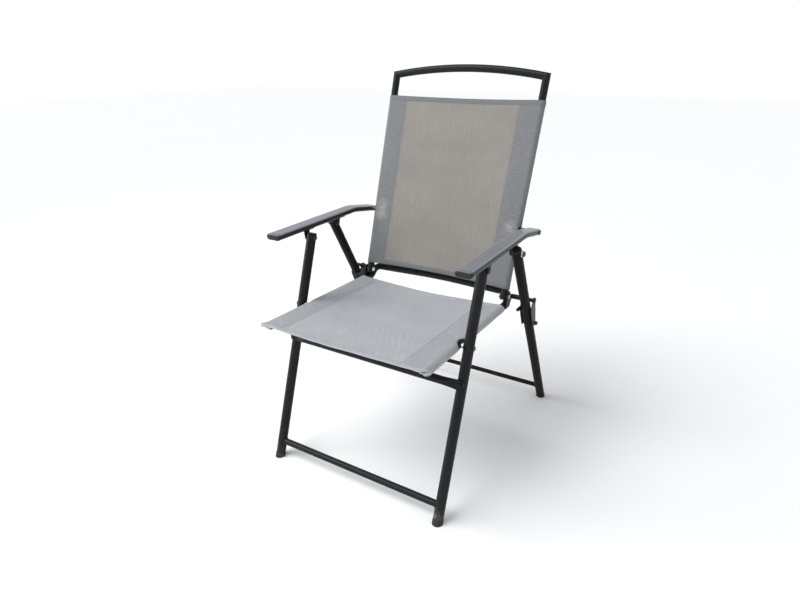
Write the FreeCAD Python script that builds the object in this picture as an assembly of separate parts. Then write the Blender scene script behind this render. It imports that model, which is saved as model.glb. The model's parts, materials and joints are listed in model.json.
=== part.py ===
"""Folding armchair: tubular steel frame, fabric seat and back slings, flat-oval arms.

Frame: X across the chair, -Y to the front, +Z up, origin on the floor in the middle of
the footprint. Millimetres. Each separate piece is one node, written to parts/NODE.step.
"""
import FreeCAD, Part
import math
import os

V3 = FreeCAD.Vector

# ---- driving dimensions ---------------------------------------------------------------
WALL = 1.2                    # wall of every round tube
LEG_R = 12.0                  # front and rear legs
FRAME_R = 9.5                 # seat frame, back frame and upper front bar
FRONT_BAR_R = 8.25            # lower front bar
REAR_BAR_R = 6.5              # lower rear bar
RUN = 0.05                    # radial running clearance of every hinge pin
GAP = 0.3                     # air between a rivet head and a part that turns under it
LEAN_GAP = 0.5                # the same beside the leaning back tubes

FRONT_LEG_X = 234.0           # leg planes, left and right of the middle
REAR_LEG_X = 261.5
SEAT_X = 208.0
BACK_X = 204.5                # back tubes at their lower pivot
BACK_TOP_X = 212.0            # back tubes at the top corners

FRONT_FOOT_Y = -302.5         # where the leg centre lines meet the floor
REAR_FOOT_Y = 326.3
ARM_FRONT_PIVOT = (-117.0, 549.0)     # (y, z) of the pivot of front leg and arm
ARM_REAR_PIVOT = (11.0, 553.5)        # rear leg and arm
SEAT_PIVOT_Z = 387.0                  # seat frame and front leg, on the leg centre line
BACK_PIVOT = (98.5, 403.5)            # back frame and seat frame
GUIDE_PIVOT = (121.5, 398.0)          # axle rod of the rear leg guides
BACK_CORNER_Z = 920.0                 # top corners of the back frame
RAIL_RISE = 18.6                      # arch of the top rail above its corners

FRONT_BAR_Z = 39.9
REAR_BAR_Z = 50.5
UPPER_BAR_Z = 308.0

SEAT_DROP = 0.0326            # fall of the seat tubes per millimetre to the rear
SEAT_FRONT_Y = -318.0         # front ends of the seat tubes, inside the cloth sleeves
SEAT_BEND_Y = 108.5           # where the seat tubes turn up
SEAT_CORNER = (130.5, 402.0)  # (y, z) of the raised rear corners
SEAT_BOW = 18.0               # rearward bow of the cross tube
SEAT_BEND_R = 22.0
SEAT_CORNER_R = 20.0
SEAT_BOW_R = 900.0            # middle of the cross tube

ARM_X = 245.5                 # middle of the arm's width
ARM_WIDTH = 39.0
ARM_THICK = 15.0
ARM_Z = 580.0
ARM_FRONT_Y = -234.0
ARM_BEND_Y = 73.5
ARM_BEND_R = 150.0
ARM_TAIL = 9.0                # arm beyond the rearmost pivot
CAP_LENGTH = 9.0
CAP_ROUND = 4.5               # rounding of the arm caps
ARM_SPIGOT = 14.0             # arm caps inside the arm

PIN_R = 3.0                   # rivets
HEAD_R = 5.6
HEAD_H = 2.6
SPACER_R = 6.3                # spacer sleeves on the rivets
WASHER_R = 7.5
WASHER = 2.6
REAR_HEAD = (6.6, 5.4)        # outer head of the rear leg rivets, radius and height
DOME = 0.8                    # rounding of a head, as a share of its height or radius
AXLE_R = 5.0                  # rods that carry the rear leg guides

CLOTH = 1.2                   # thickness of the slings
CLOTH_AIR = 0.3               # cloth to tube
SEAM_LAP = 0.1                # the flat panels are this much thinner, each side, than sleeves
SEAT_SLING_FRONT_Y = -340.56
SEAT_SLING_REAR_Y = 71.0
BACK_SLING_LOW = 18.0         # along the back tubes from the lower pivot
BACK_SLING_HIGH = 485.0
NOTCH_R = 9.0                 # cut-outs of the sleeves round the pivots

GUIDE_PLATE = 2.0
GUIDE_PIN_R = 2.0             # front pin of the guides
GUIDE_FRONT_REACH = 38.2      # axle to front pin, square to the rear leg
GUIDE_LOW = (141.5, 327.5)    # (y, z) of the glide rivets
GUIDE_OUTLINE = (             # discs (y, z, radius) the plates are drawn round
    (110.0, 377.0, 5.5), (133.5, 326.0, 5.0), (141.5, 327.5, 6.0), (121.5, 398.0, 8.5))
GUIDE_FINGER = (4.5, 6.0)     # radii of the inner plate's finger, at the pin and at its root
GUIDE_STUB = 9.5              # front pin beyond the inner plate
GLIDE_PAD_R = 6.0
GLIDE_PAD = 2.0
GLIDE_HEAD = (5.4, 7.6)       # outer glide rivet head, radius and height
STUB_HEAD = (4.6, 1.8)        # inner one


# ---- derived places -------------------------------------------------------------------
def unit(dy, dz):
    length = math.hypot(dy, dz)
    return dy / length, dz / length


FRONT_DIR = unit(ARM_FRONT_PIVOT[0] - FRONT_FOOT_Y, ARM_FRONT_PIVOT[1])
REAR_DIR = unit(ARM_REAR_PIVOT[0] - REAR_FOOT_Y, ARM_REAR_PIVOT[1])
FRONT_LEN = math.hypot(ARM_FRONT_PIVOT[0] - FRONT_FOOT_Y, ARM_FRONT_PIVOT[1])
REAR_LEN = math.hypot(ARM_REAR_PIVOT[0] - REAR_FOOT_Y, ARM_REAR_PIVOT[1])
SEAT_PIVOT = (FRONT_FOOT_Y + FRONT_DIR[0] / FRONT_DIR[1] * SEAT_PIVOT_Z, SEAT_PIVOT_Z)
# seat pivot, arm front pivot, arm-back pivot and back pivot form a parallelogram
ARM_BACK_PIVOT = (
    ARM_FRONT_PIVOT[0] + BACK_PIVOT[0] - SEAT_PIVOT[0],
    ARM_FRONT_PIVOT[1] + BACK_PIVOT[1] - SEAT_PIVOT[1],
)
BACK_LEAN = math.radians(72.0)
BACK_DIR = (math.cos(BACK_LEAN), math.sin(BACK_LEAN))
BACK_MID = (
    (BACK_PIVOT[0] + ARM_BACK_PIVOT[0]) / 2,
    (BACK_PIVOT[1] + ARM_BACK_PIVOT[1]) / 2,
)
BACK_CORNER_S = (BACK_CORNER_Z - BACK_PIVOT[1]) / BACK_DIR[1]


def seat_z(y):
    """Height of the seat tube's centre line."""
    return SEAT_PIVOT[1] - SEAT_DROP * (y - SEAT_PIVOT[0])


def back_axis(s):
    """(x, y, z) of the right back tube's centre line, s measured from the lower pivot."""
    z = BACK_PIVOT[1] + s * BACK_DIR[1]
    y = BACK_MID[0] + (z - BACK_MID[1]) * BACK_DIR[0] / BACK_DIR[1]
    x = BACK_X + (BACK_TOP_X - BACK_X) * s / BACK_CORNER_S
    return V3(x, y, z)


def on_leg(x, foot_y, direction, s):
    return V3(x, foot_y + direction[0] * s, direction[1] * s)


# ---- shape helpers --------------------------------------------------------------------
def bar(p, q, radius):
    return Part.makeCylinder(radius, (q - p).Length, p, q - p)


def tube(p, q, radius):
    return bar(p, q, radius).cut(bar(p, q, radius - WALL))


def bar_x(pivot, x0, x1, radius):
    return bar(V3(x0, pivot[0], pivot[1]), V3(x1, pivot[0], pivot[1]), radius)


def mirrored(shape):
    return shape.mirror(V3(0, 0, 0), V3(1, 0, 0))


def both(shape):
    return Part.makeCompound([shape, mirrored(shape)])


def round_head(pivot, x0, outward, radius=HEAD_R, height=HEAD_H):
    """Domed rivet head that stands on the plane x0 and points outward or inward."""
    x1 = x0 + outward * height
    disc = bar_x(pivot, min(x0, x1), max(x0, x1), radius)
    rim = [e for e in disc.Edges if e.Length > radius and abs(e.BoundBox.XMin - x1) < 0.01
           and abs(e.BoundBox.XMax - x1) < 0.01]
    return disc.makeFillet(DOME * min(height, radius), rim)


def rivet(pivot, x_in, x_out, radius=PIN_R, head=HEAD_R):
    """Pin along X with a domed head at each end."""
    pin = bar_x(pivot, x_in, x_out, radius)
    return pin.fuse([round_head(pivot, x_in, -1, head), round_head(pivot, x_out, 1, head)])


def smooth_path(points, radii):
    """Wire of straight runs joined by tangent arcs, one radius for each inner point."""
    edges = []
    start = points[0]
    for before, corner, after, radius in zip(points, points[1:], points[2:], radii):
        a = (before - corner).normalize()
        b = (after - corner).normalize()
        half = a.getAngle(b) / 2
        setback = radius / math.tan(half)
        p = corner + a * setback
        q = corner + b * setback
        middle = (a + b).normalize()
        m = corner + middle * (radius / math.sin(half) - radius)
        edges.append(Part.LineSegment(start, p).toShape())
        edges.append(Part.Arc(p, m, q).toShape())
        start = q
    edges.append(Part.LineSegment(start, points[-1]).toShape())
    return Part.Wire(edges)


def pipe(path, radius):
    first = path.Edges[0]
    start = first.valueAt(first.FirstParameter)
    along = first.tangentAt(first.FirstParameter)
    ring = Part.Wire(Part.makeCircle(radius, start, along))
    return path.makePipeShell([ring], True, False)


def plate_x(outline, x0, x1):
    """Plate parallel to the YZ plane from a closed wire drawn at x0."""
    return Part.Face(outline).extrude(V3(x1 - x0, 0, 0))


def hull_of_discs(discs, x0, x1):
    """Flat plate whose outline is a belt round discs (y, z, r), listed anticlockwise."""
    edges = []
    count = len(discs)
    tangents = []
    for i in range(count):
        ya, za, ra = discs[i]
        yb, zb, rb = discs[(i + 1) % count]
        distance = math.hypot(yb - ya, zb - za)
        heading = math.atan2(zb - za, yb - ya)
        normal = heading - math.pi / 2 + math.asin((rb - ra) / distance) * -1
        p = V3(x0, ya + ra * math.cos(normal), za + ra * math.sin(normal))
        q = V3(x0, yb + rb * math.cos(normal), zb + rb * math.sin(normal))
        tangents.append((p, q, normal))
    for i in range(count):
        p, q, normal = tangents[i]
        following = tangents[(i + 1) % count]
        yb, zb, rb = discs[(i + 1) % count]
        turn = (following[2] - normal) % (2 * math.pi)
        angle = normal + turn / 2
        m = V3(x0, yb + rb * math.cos(angle), zb + rb * math.sin(angle))
        edges.append(Part.LineSegment(p, q).toShape())
        edges.append(Part.Arc(q, m, following[0]).toShape())
    return plate_x(Part.Wire(edges), x0, x1)


def tube_plug(p, direction, radius, lip, depth):
    """Plastic plug in a tube's end: a rounded cap outside and a spigot inside."""
    cap = Part.makeCylinder(radius, lip, p, direction)
    rim = [e for e in cap.Edges if abs(e.CenterOfMass.distanceToPoint(p) - lip) < 0.01
           and e.Length > radius * 3]
    cap = cap.makeFillet(0.7 * lip, rim)
    return cap.fuse(Part.makeCylinder(radius - WALL, depth, p, direction * -1))


# ---- front frame ----------------------------------------------------------------------
FOOT_LIP = 9.0                # leg tubes start this far up the leg, above the foot plug
FOOT_R = LEG_R + 0.7
FOOT_SPIGOT = 18.0            # plug inside the tube
LEG_HEAD = 9.0                # leg tubes run on past their arm pivot
CAP_LIP = 3.0                 # plastic caps of round tubes, outside
CAP_SPIGOT = 5.0              # and inside, clear of the pivot rivet


def leg(x, foot_y, direction, length, holes):
    body = tube(on_leg(x, foot_y, direction, FOOT_LIP),
                on_leg(x, foot_y, direction, length + LEG_HEAD), LEG_R)
    for pivot, radius in holes:
        body = body.cut(bar_x(pivot, x - 2 * LEG_R, x + 2 * LEG_R, radius))
    return body


def foot_plug(x, foot_y, direction):
    lip = bar(on_leg(x, foot_y, direction, -FOOT_LIP),
              on_leg(x, foot_y, direction, FOOT_LIP), FOOT_R)
    spigot = bar(on_leg(x, foot_y, direction, FOOT_LIP),
                 on_leg(x, foot_y, direction, FOOT_LIP + FOOT_SPIGOT), LEG_R - WALL)
    block = 4 * FOOT_R
    floor = Part.makeBox(block, block, block, V3(x - block / 2, foot_y - block / 2, -block))
    return lip.fuse(spigot).cut(floor)


def leg_cap(x, foot_y, direction, length):
    p = on_leg(x, foot_y, direction, length + LEG_HEAD)
    return tube_plug(p, V3(0, *direction), LEG_R, CAP_LIP, CAP_SPIGOT)


def cross_bar(foot_y, direction, leg_x, z, radius):
    """Round bar between two legs, its ends shaped to the leg tubes."""
    pivot = (foot_y + direction[0] / direction[1] * z, z)
    body = bar_x(pivot, -leg_x, leg_x, radius)
    body = body.cut(bar_x(pivot, -leg_x, leg_x, radius - WALL))
    for side in (-1, 1):
        body = body.cut(bar(on_leg(side * leg_x, foot_y, direction, 0),
                            on_leg(side * leg_x, foot_y, direction, 4 * z), LEG_R))
    return body


UPPER_BAR_TAB = 4.0           # thickness of its flattened ends
UPPER_BAR_TAB_H = 22.0
UPPER_BAR_END_X = 243.0
UPPER_BAR_ROUND_X = 196.0     # the tube is round out to here and flattened past the next
UPPER_BAR_FLAT_X = 221.0
SLIVER = 0.01                 # keeps four edges in the round end of the loft


def upper_bar_frame():
    """Placement of the upper bar: x across, y towards the leg, z up along the leg."""
    s = UPPER_BAR_Z / FRONT_DIR[1]
    off = LEG_R + UPPER_BAR_TAB / 2
    origin = on_leg(0, FRONT_FOOT_Y, FRONT_DIR, s) + V3(0, -FRONT_DIR[1], FRONT_DIR[0]) * off
    tilt = -math.degrees(math.atan2(FRONT_DIR[0], FRONT_DIR[1]))
    return FreeCAD.Placement(origin, FreeCAD.Rotation(V3(1, 0, 0), tilt))


def oval_wire(x, half_y, half_z):
    """Slot-shaped section across X: flat sides, round ends, half_y by half_z."""
    small = min(half_y, half_z)
    flat = max(half_y, half_z) - small
    if half_z > half_y:
        a, b = V3(x, -small, flat), V3(x, -small, -flat)
        c, d = V3(x, small, -flat), V3(x, small, flat)
        low, high = V3(x, 0, -half_z), V3(x, 0, half_z)
    else:
        a, b = V3(x, -flat, small), V3(x, flat, small)
        c, d = V3(x, flat, -small), V3(x, -flat, -small)
        low, high = V3(x, half_y, 0), V3(x, -half_y, 0)
    return Part.Wire([
        Part.LineSegment(a, b).toShape(),
        Part.Arc(b, low, c).toShape(),
        Part.LineSegment(c, d).toShape(),
        Part.Arc(d, high, a).toShape(),
    ])


def upper_front_bar():
    """Tube in front of the legs with flattened, rounded ends riveted to them."""
    start, along = V3(-UPPER_BAR_ROUND_X, 0, 0), V3(1, 0, 0)
    tube_part = Part.makeCylinder(FRAME_R, 2 * UPPER_BAR_ROUND_X, start, along)
    bore = Part.makeCylinder(FRAME_R - WALL, 2 * UPPER_BAR_ROUND_X, start, along)
    half_y, half_z = UPPER_BAR_TAB / 2, UPPER_BAR_TAB_H / 2
    round_section = oval_wire(UPPER_BAR_ROUND_X, FRAME_R - SLIVER, FRAME_R + SLIVER)
    flat_section = oval_wire(UPPER_BAR_FLAT_X, half_y, half_z)
    neck = Part.makeLoft([round_section, flat_section], True, False)
    tab = Part.makeBox(UPPER_BAR_END_X - half_z - UPPER_BAR_FLAT_X, 2 * half_y, 2 * half_z,
                       V3(UPPER_BAR_FLAT_X, -half_y, -half_z))
    end = Part.makeCylinder(half_z, 2 * half_y, V3(UPPER_BAR_END_X - half_z, -half_y, 0),
                            V3(0, 1, 0))
    half_bar = neck.fuse([tab, end]).removeSplitter()
    body = tube_part.fuse([half_bar, mirrored(half_bar)]).cut(bore)
    body.Placement = upper_bar_frame()
    return body


def upper_bar_rivets():
    """Rivets through the bar's flat ends into the front of the legs."""
    length = UPPER_BAR_TAB + 2 * WALL
    pin = Part.makeCylinder(PIN_R, length, V3(FRONT_LEG_X, -UPPER_BAR_TAB / 2, 0),
                            V3(0, 1, 0))
    head = Part.makeCylinder(HEAD_R, HEAD_H, V3(FRONT_LEG_X, -UPPER_BAR_TAB / 2 - HEAD_H, 0),
                             V3(0, 1, 0))
    rim = [e for e in head.Edges if e.BoundBox.YMax < -UPPER_BAR_TAB / 2 - HEAD_H + 0.01]
    shape = both(pin.fuse(head.makeFillet(DOME * HEAD_H, rim)))
    shape.Placement = upper_bar_frame()
    return shape


def upper_bar_holes():
    hole = Part.makeCylinder(PIN_R, 2 * LEG_R, V3(FRONT_LEG_X, -UPPER_BAR_TAB, 0),
                             V3(0, 1, 0))
    shape = both(hole)
    shape.Placement = upper_bar_frame()
    return shape


def build_front_frame(nodes):
    holes = [(ARM_FRONT_PIVOT, PIN_R + RUN), (SEAT_PIVOT, PIN_R)]
    right = leg(FRONT_LEG_X, FRONT_FOOT_Y, FRONT_DIR, FRONT_LEN, holes)
    right = right.cut(upper_bar_holes())
    nodes["front_leg_right"] = right
    nodes["front_leg_left"] = mirrored(right)
    nodes["front_foot_plugs"] = both(foot_plug(FRONT_LEG_X, FRONT_FOOT_Y, FRONT_DIR))
    nodes["front_leg_caps"] = both(leg_cap(FRONT_LEG_X, FRONT_FOOT_Y, FRONT_DIR, FRONT_LEN))
    nodes["front_lower_bar"] = cross_bar(FRONT_FOOT_Y, FRONT_DIR, FRONT_LEG_X,
                                         FRONT_BAR_Z, FRONT_BAR_R)
    nodes["front_upper_bar"] = upper_front_bar().cut(upper_bar_holes())
    nodes["front_bar_rivets"] = upper_bar_rivets()
    leg_inner = FRONT_LEG_X - LEG_R
    seat_outer = SEAT_X + FRAME_R
    nodes["seat_pivot_rivets"] = both(
        rivet(SEAT_PIVOT, SEAT_X - FRAME_R - GAP, FRONT_LEG_X + LEG_R))
    spacer = bar_x(SEAT_PIVOT, seat_outer + GAP, leg_inner, SPACER_R)
    nodes["seat_pivot_spacers"] = both(
        spacer.cut(bar_x(SEAT_PIVOT, seat_outer, leg_inner, PIN_R)))


# ---- rear frame -----------------------------------------------------------------------
def build_rear_frame(nodes):
    holes = [(ARM_REAR_PIVOT, PIN_R + RUN)]
    right = leg(REAR_LEG_X, REAR_FOOT_Y, REAR_DIR, REAR_LEN, holes)
    nodes["rear_leg_right"] = right
    nodes["rear_leg_left"] = mirrored(right)
    nodes["rear_foot_plugs"] = both(foot_plug(REAR_LEG_X, REAR_FOOT_Y, REAR_DIR))
    nodes["rear_leg_caps"] = both(leg_cap(REAR_LEG_X, REAR_FOOT_Y, REAR_DIR, REAR_LEN))
    nodes["rear_lower_bar"] = cross_bar(REAR_FOOT_Y, REAR_DIR, REAR_LEG_X,
                                        REAR_BAR_Z, REAR_BAR_R)


# ---- arms -----------------------------------------------------------------------------
HANGER_PLATE = 2.0
HANGER_X = FRONT_LEG_X + LEG_R + 0.7          # tab between the two leg planes
HANGER_HALF = 13.0                            # half length of its foot under the arm
HANGER_FOOT = (233.0, 259.0)                  # x range of the foot
HANGER_NECK = 10.0                            # half width of the tab at its foot
HANGER_EYE = 8.0                              # radius of the tab round its pivot


def arm_path():
    tail = V3(ARM_X, ARM_BACK_PIVOT[0], ARM_BACK_PIVOT[1])
    bend = V3(ARM_X, ARM_BEND_Y, ARM_Z)
    end = tail + (tail - bend).normalize() * ARM_TAIL
    return smooth_path([V3(ARM_X, ARM_FRONT_Y, ARM_Z), bend, end], [ARM_BEND_R])


def arm_section(shrink):
    """Flat-oval section at the arm's front end."""
    half_x = ARM_WIDTH / 2 - shrink
    half_z = ARM_THICK / 2 - shrink
    wire = oval_wire(0, half_x, half_z)
    wire.Placement = FreeCAD.Placement(V3(ARM_X, ARM_FRONT_Y, ARM_Z),
                                       FreeCAD.Rotation(V3(0, 0, 1), 90))
    return wire


def sweep_arm(shrink):
    maker = Part.BRepOffsetAPI.MakePipeShell(arm_path())
    maker.setBiNormalMode(V3(1, 0, 0))
    maker.add(arm_section(shrink))
    maker.build()
    maker.makeSolid()
    return Part.Solid(maker.shape())


def arm_cap(p, outward):
    """Rounded plastic plug in the end of the arm tube, p at the tube's end."""
    lateral = V3(1, 0, 0)
    up = lateral.cross(outward)
    if up.z < 0:
        up = up * -1
    shapes = []
    for reach, shrink, length in ((outward, 0.0, CAP_LENGTH), (outward * -1, WALL, ARM_SPIGOT)):
        wire = oval_wire(0, ARM_WIDTH / 2 - shrink, ARM_THICK / 2 - shrink)
        matrix = FreeCAD.Matrix(reach.x, lateral.x, up.x, p.x,
                                reach.y, lateral.y, up.y, p.y,
                                reach.z, lateral.z, up.z, p.z, 0, 0, 0, 1)
        wire = wire.transformGeometry(matrix)
        shapes.append(Part.Face(wire).extrude(reach * length))
    cap, spigot = shapes
    far = [e for e in cap.Edges
           if (e.CenterOfMass - p).dot(outward) > CAP_LENGTH - 0.05]
    cap = cap.makeFillet(CAP_ROUND, far)
    return cap.fuse(spigot)


def hanger(pivot):
    """Sheet bracket under the arm: a foot plate and a tab down to the leg pivot."""
    under = ARM_Z - ARM_THICK / 2
    foot = Part.makeBox(HANGER_FOOT[1] - HANGER_FOOT[0], 2 * HANGER_HALF, HANGER_PLATE,
                        V3(HANGER_FOOT[0], pivot[0] - HANGER_HALF, under - HANGER_PLATE))
    small = HANGER_PLATE / 2
    top = under - small
    far_x = HANGER_X + HANGER_PLATE
    tab = hull_of_discs([(pivot[0], pivot[1], HANGER_EYE),
                         (pivot[0] + HANGER_NECK, top, small),
                         (pivot[0] - HANGER_NECK, top, small)], HANGER_X, far_x)
    return foot.fuse(tab).cut(bar_x(pivot, HANGER_X, far_x, PIN_R))


def build_arms(nodes):
    path = arm_path()
    first, last = path.Edges[0], path.Edges[-1]
    front = first.valueAt(first.FirstParameter)
    rear = last.valueAt(last.LastParameter)
    ahead = first.tangentAt(first.FirstParameter) * -1
    behind = last.tangentAt(last.LastParameter)
    rivet_hole = bar_x(ARM_BACK_PIVOT, ARM_X - ARM_WIDTH, ARM_X + ARM_WIDTH, PIN_R)
    arm = sweep_arm(0).cut(sweep_arm(WALL)).cut(rivet_hole)
    caps = Part.makeCompound([arm_cap(front, ahead), arm_cap(rear, behind).cut(rivet_hole)])
    arm_inner = ARM_X - ARM_WIDTH / 2
    share = (ARM_BACK_PIVOT[1] - BACK_PIVOT[1]) / (BACK_CORNER_Z - BACK_PIVOT[1])
    back_pin_x = BACK_X + (BACK_TOP_X - BACK_X) * share
    back_outer = back_pin_x + FRAME_R + LEAN_GAP
    spacer = bar_x(ARM_BACK_PIVOT, back_outer, arm_inner, SPACER_R)
    spacer = spacer.cut(bar_x(ARM_BACK_PIVOT, back_outer, arm_inner, PIN_R))
    leg_outer = REAR_LEG_X + LEG_R + GAP
    washer = bar_x(ARM_REAR_PIVOT, leg_outer, leg_outer + WASHER, WASHER_R)
    washer = washer.cut(bar_x(ARM_REAR_PIVOT, leg_outer, leg_outer + WASHER, PIN_R))
    pieces = {
        "arm": arm,
        "arm_end_caps": caps,
        "arm_front_hanger": hanger(ARM_FRONT_PIVOT),
        "arm_rear_hanger": hanger(ARM_REAR_PIVOT),
        "front_leg_rivet": rivet(ARM_FRONT_PIVOT, FRONT_LEG_X - LEG_R - GAP,
                                 HANGER_X + HANGER_PLATE),
        "rear_leg_rivet": bar_x(ARM_REAR_PIVOT, HANGER_X, leg_outer + WASHER, PIN_R).fuse([
            round_head(ARM_REAR_PIVOT, HANGER_X, -1),
            round_head(ARM_REAR_PIVOT, leg_outer + WASHER, 1, *REAR_HEAD)]),
        "rear_leg_washer": washer,
        "back_rivet": rivet(ARM_BACK_PIVOT, back_pin_x - FRAME_R - LEAN_GAP,
                            ARM_X + ARM_WIDTH / 2),
        "back_rivet_spacer": spacer,
    }
    for name, shape in pieces.items():
        nodes[name + "_right"] = shape
        nodes[name + "_left"] = mirrored(shape)


# ---- seat -----------------------------------------------------------------------------
def seat_path():
    side = []
    for y, z in ((SEAT_FRONT_Y, seat_z(SEAT_FRONT_Y)), (SEAT_BEND_Y, seat_z(SEAT_BEND_Y)),
                 SEAT_CORNER):
        side.append(V3(SEAT_X, y, z))
    middle = V3(0, SEAT_CORNER[0] + SEAT_BOW, SEAT_CORNER[1])
    left = [V3(-p.x, p.y, p.z) for p in reversed(side)]
    radii = [SEAT_BEND_R, SEAT_CORNER_R, SEAT_BOW_R, SEAT_CORNER_R, SEAT_BEND_R]
    return smooth_path(side + [middle] + left, radii)


def seat_frame():
    path = seat_path()
    body = pipe(path, FRAME_R).cut(pipe(path, FRAME_R - WALL))
    for side in (-1, 1):
        x = side * SEAT_X
        body = body.cut(bar_x(SEAT_PIVOT, x - 2 * FRAME_R, x + 2 * FRAME_R, PIN_R + RUN))
    return body


def seat_sling():
    """Fabric panel over the seat tubes with a sleeve round each tube."""
    inner = FRAME_R + CLOTH_AIR
    outer = inner + CLOTH
    front = V3(SEAT_X, SEAT_SLING_FRONT_Y, seat_z(SEAT_SLING_FRONT_Y))
    rear = V3(SEAT_X, SEAT_SLING_REAR_Y, seat_z(SEAT_SLING_REAR_Y))
    sleeve = bar(front, rear, outer).cut(bar(front, rear, inner))
    sleeve = sleeve.cut(bar_x(SEAT_PIVOT, SEAT_X - 2 * outer, SEAT_X + 2 * outer, NOTCH_R))
    across = (rear - front).normalize()
    up = V3(1, 0, 0).cross(across)
    low = front + up * (inner + SEAM_LAP)
    rise = up * (CLOTH - 2 * SEAM_LAP)
    span = V3(-2 * SEAT_X, 0, 0)
    panel = Part.makePolygon([low, low + rise, low + rise + span, low + span, low])
    panel = Part.Face(panel).extrude(rear - front)
    return panel.fuse([sleeve, mirrored(sleeve)])


EAR_X = 215.4
EAR_PLATE = 3.0
EAR_EYE = 8.5                 # radius round the pivot
EAR_FOOT = (-12.0, 8.0)       # ends of its weld line, from the pivot


def hinge_ear():
    """Plate welded to the seat tube that carries the back frame's lower pivot."""
    y, z = BACK_PIVOT
    far_x = EAR_X + EAR_PLATE
    discs = [(y + step, seat_z(y), EAR_PLATE) for step in EAR_FOOT] + [(y, z, EAR_EYE)]
    return hull_of_discs(discs, EAR_X, far_x).cut(bar_x(BACK_PIVOT, EAR_X, far_x, PIN_R))


GUIDE_INNER_X = FRONT_LEG_X + LEG_R + 0.8     # inner guide plate, between the leg planes
GUIDE_OUTER_X = REAR_LEG_X + LEG_R + 2.5      # outer guide plate, outside the rear leg
AXLE_HEAD = 1.8               # the axle's outer head is this much larger than the rod
AXLE_SLEEVE = 1.4             # and the sleeve between seat corner and guide this much


def guide_axle():
    """Rod from the raised seat corner, behind the rear leg, through both guide plates."""
    end = GUIDE_OUTER_X + GUIDE_PLATE + GAP
    rod = bar_x(GUIDE_PIVOT, SEAT_X, end, AXLE_R)
    sleeve = bar_x(GUIDE_PIVOT, SEAT_X + FRAME_R + AXLE_SLEEVE, GUIDE_INNER_X - GAP,
                   AXLE_R + AXLE_SLEEVE)
    return rod.fuse([round_head(GUIDE_PIVOT, end, 1, AXLE_R + AXLE_HEAD), sleeve])


def build_seat(nodes):
    nodes["seat_frame"] = seat_frame()
    front = V3(SEAT_X, SEAT_FRONT_Y, seat_z(SEAT_FRONT_Y))
    ahead = V3(0, -1, SEAT_DROP).normalize()
    nodes["seat_tube_plugs"] = both(tube_plug(front, ahead, FRAME_R, CAP_LIP, CAP_SPIGOT))
    nodes["seat_hinge_ears"] = both(hinge_ear())
    nodes["back_hinge_rivets"] = both(
        rivet(BACK_PIVOT, BACK_X - FRAME_R - LEAN_GAP, EAR_X + EAR_PLATE))
    nodes["guide_axles"] = both(guide_axle())
    nodes["seat_sling"] = seat_sling()


# ---- back -----------------------------------------------------------------------------
BACK_STUB = 7.0               # tube below the lower pivot, before its plug
BACK_SPIGOT = 3.0
MITRE_REACH = 20.0            # tubes are drawn this far past the mitre, then cut back


def rail_points():
    corner = back_axis(BACK_CORNER_S)
    top = back_axis(BACK_CORNER_S + RAIL_RISE)
    return corner, V3(0, top.y, top.z), V3(-corner.x, corner.y, corner.z)


def mitre_tool(corner, rail_dir, tube_dir):
    """Big block on the rail's side of the mitre plane at the right top corner."""
    normal = (rail_dir - tube_dir).normalize()
    size = 6 * MITRE_REACH
    block = Part.makeBox(size, size, size, V3(-size / 2, -size / 2, 0))
    block.Placement = FreeCAD.Placement(corner, FreeCAD.Rotation(V3(0, 0, 1), normal))
    return block


def back_frame():
    """Right side tube and arched top rail, mitred where they meet."""
    right, top, left = rail_points()
    arch = Part.Arc(right, top, left).toShape()
    rail_dir = arch.tangentAt(arch.FirstParameter)
    low = back_axis(-BACK_STUB)
    tube_dir = (low - right).normalize()
    over = right - tube_dir * MITRE_REACH
    side = tube(low, over, FRAME_R)
    tool = mitre_tool(right, rail_dir, tube_dir)
    side = side.cut(tool)
    lead = Part.makeLine(right - rail_dir * MITRE_REACH, right)
    trail = Part.makeLine(left, left + arch.tangentAt(arch.LastParameter) * MITRE_REACH)
    path = Part.Wire([lead, arch, trail])
    rail = pipe(path, FRAME_R).cut(pipe(path, FRAME_R - WALL))
    keep_away = mitre_tool(right, tube_dir, rail_dir)
    rail = rail.cut([keep_away, mirrored(keep_away)])
    for pivot in (BACK_PIVOT, ARM_BACK_PIVOT):
        side = side.cut(bar_x(pivot, BACK_X - 2 * FRAME_R, BACK_TOP_X + FRAME_R, PIN_R + RUN))
    return side, rail


def back_sling():
    """Fabric panel in front of the back tubes with a sleeve round each tube."""
    inner = FRAME_R + CLOTH_AIR
    outer = inner + CLOTH
    low = back_axis(BACK_SLING_LOW)
    high = back_axis(BACK_SLING_HIGH)
    sleeve = bar(low, high, outer).cut(bar(low, high, inner))
    sleeve = sleeve.cut(bar_x(ARM_BACK_PIVOT, BACK_X - outer, BACK_TOP_X + outer, NOTCH_R))
    forward = V3(0, -BACK_DIR[1], BACK_DIR[0])
    corners = [V3(p.x * side, p.y, p.z) + forward * (inner + SEAM_LAP)
               for p, side in ((low, 1), (high, 1), (high, -1), (low, -1))]
    panel = Part.Face(Part.makePolygon(corners + corners[:1]))
    panel = panel.extrude(forward * (CLOTH - 2 * SEAM_LAP))
    return panel.fuse([sleeve, mirrored(sleeve)])


def build_back(nodes):
    side, rail = back_frame()
    nodes["back_tube_right"] = side
    nodes["back_tube_left"] = mirrored(side)
    nodes["back_top_rail"] = rail
    low = back_axis(-BACK_STUB)
    down = (low - back_axis(0)).normalize()
    nodes["back_tube_plugs"] = both(tube_plug(low, down, FRAME_R, CAP_LIP, BACK_SPIGOT))
    nodes["back_sling"] = back_sling()


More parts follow.
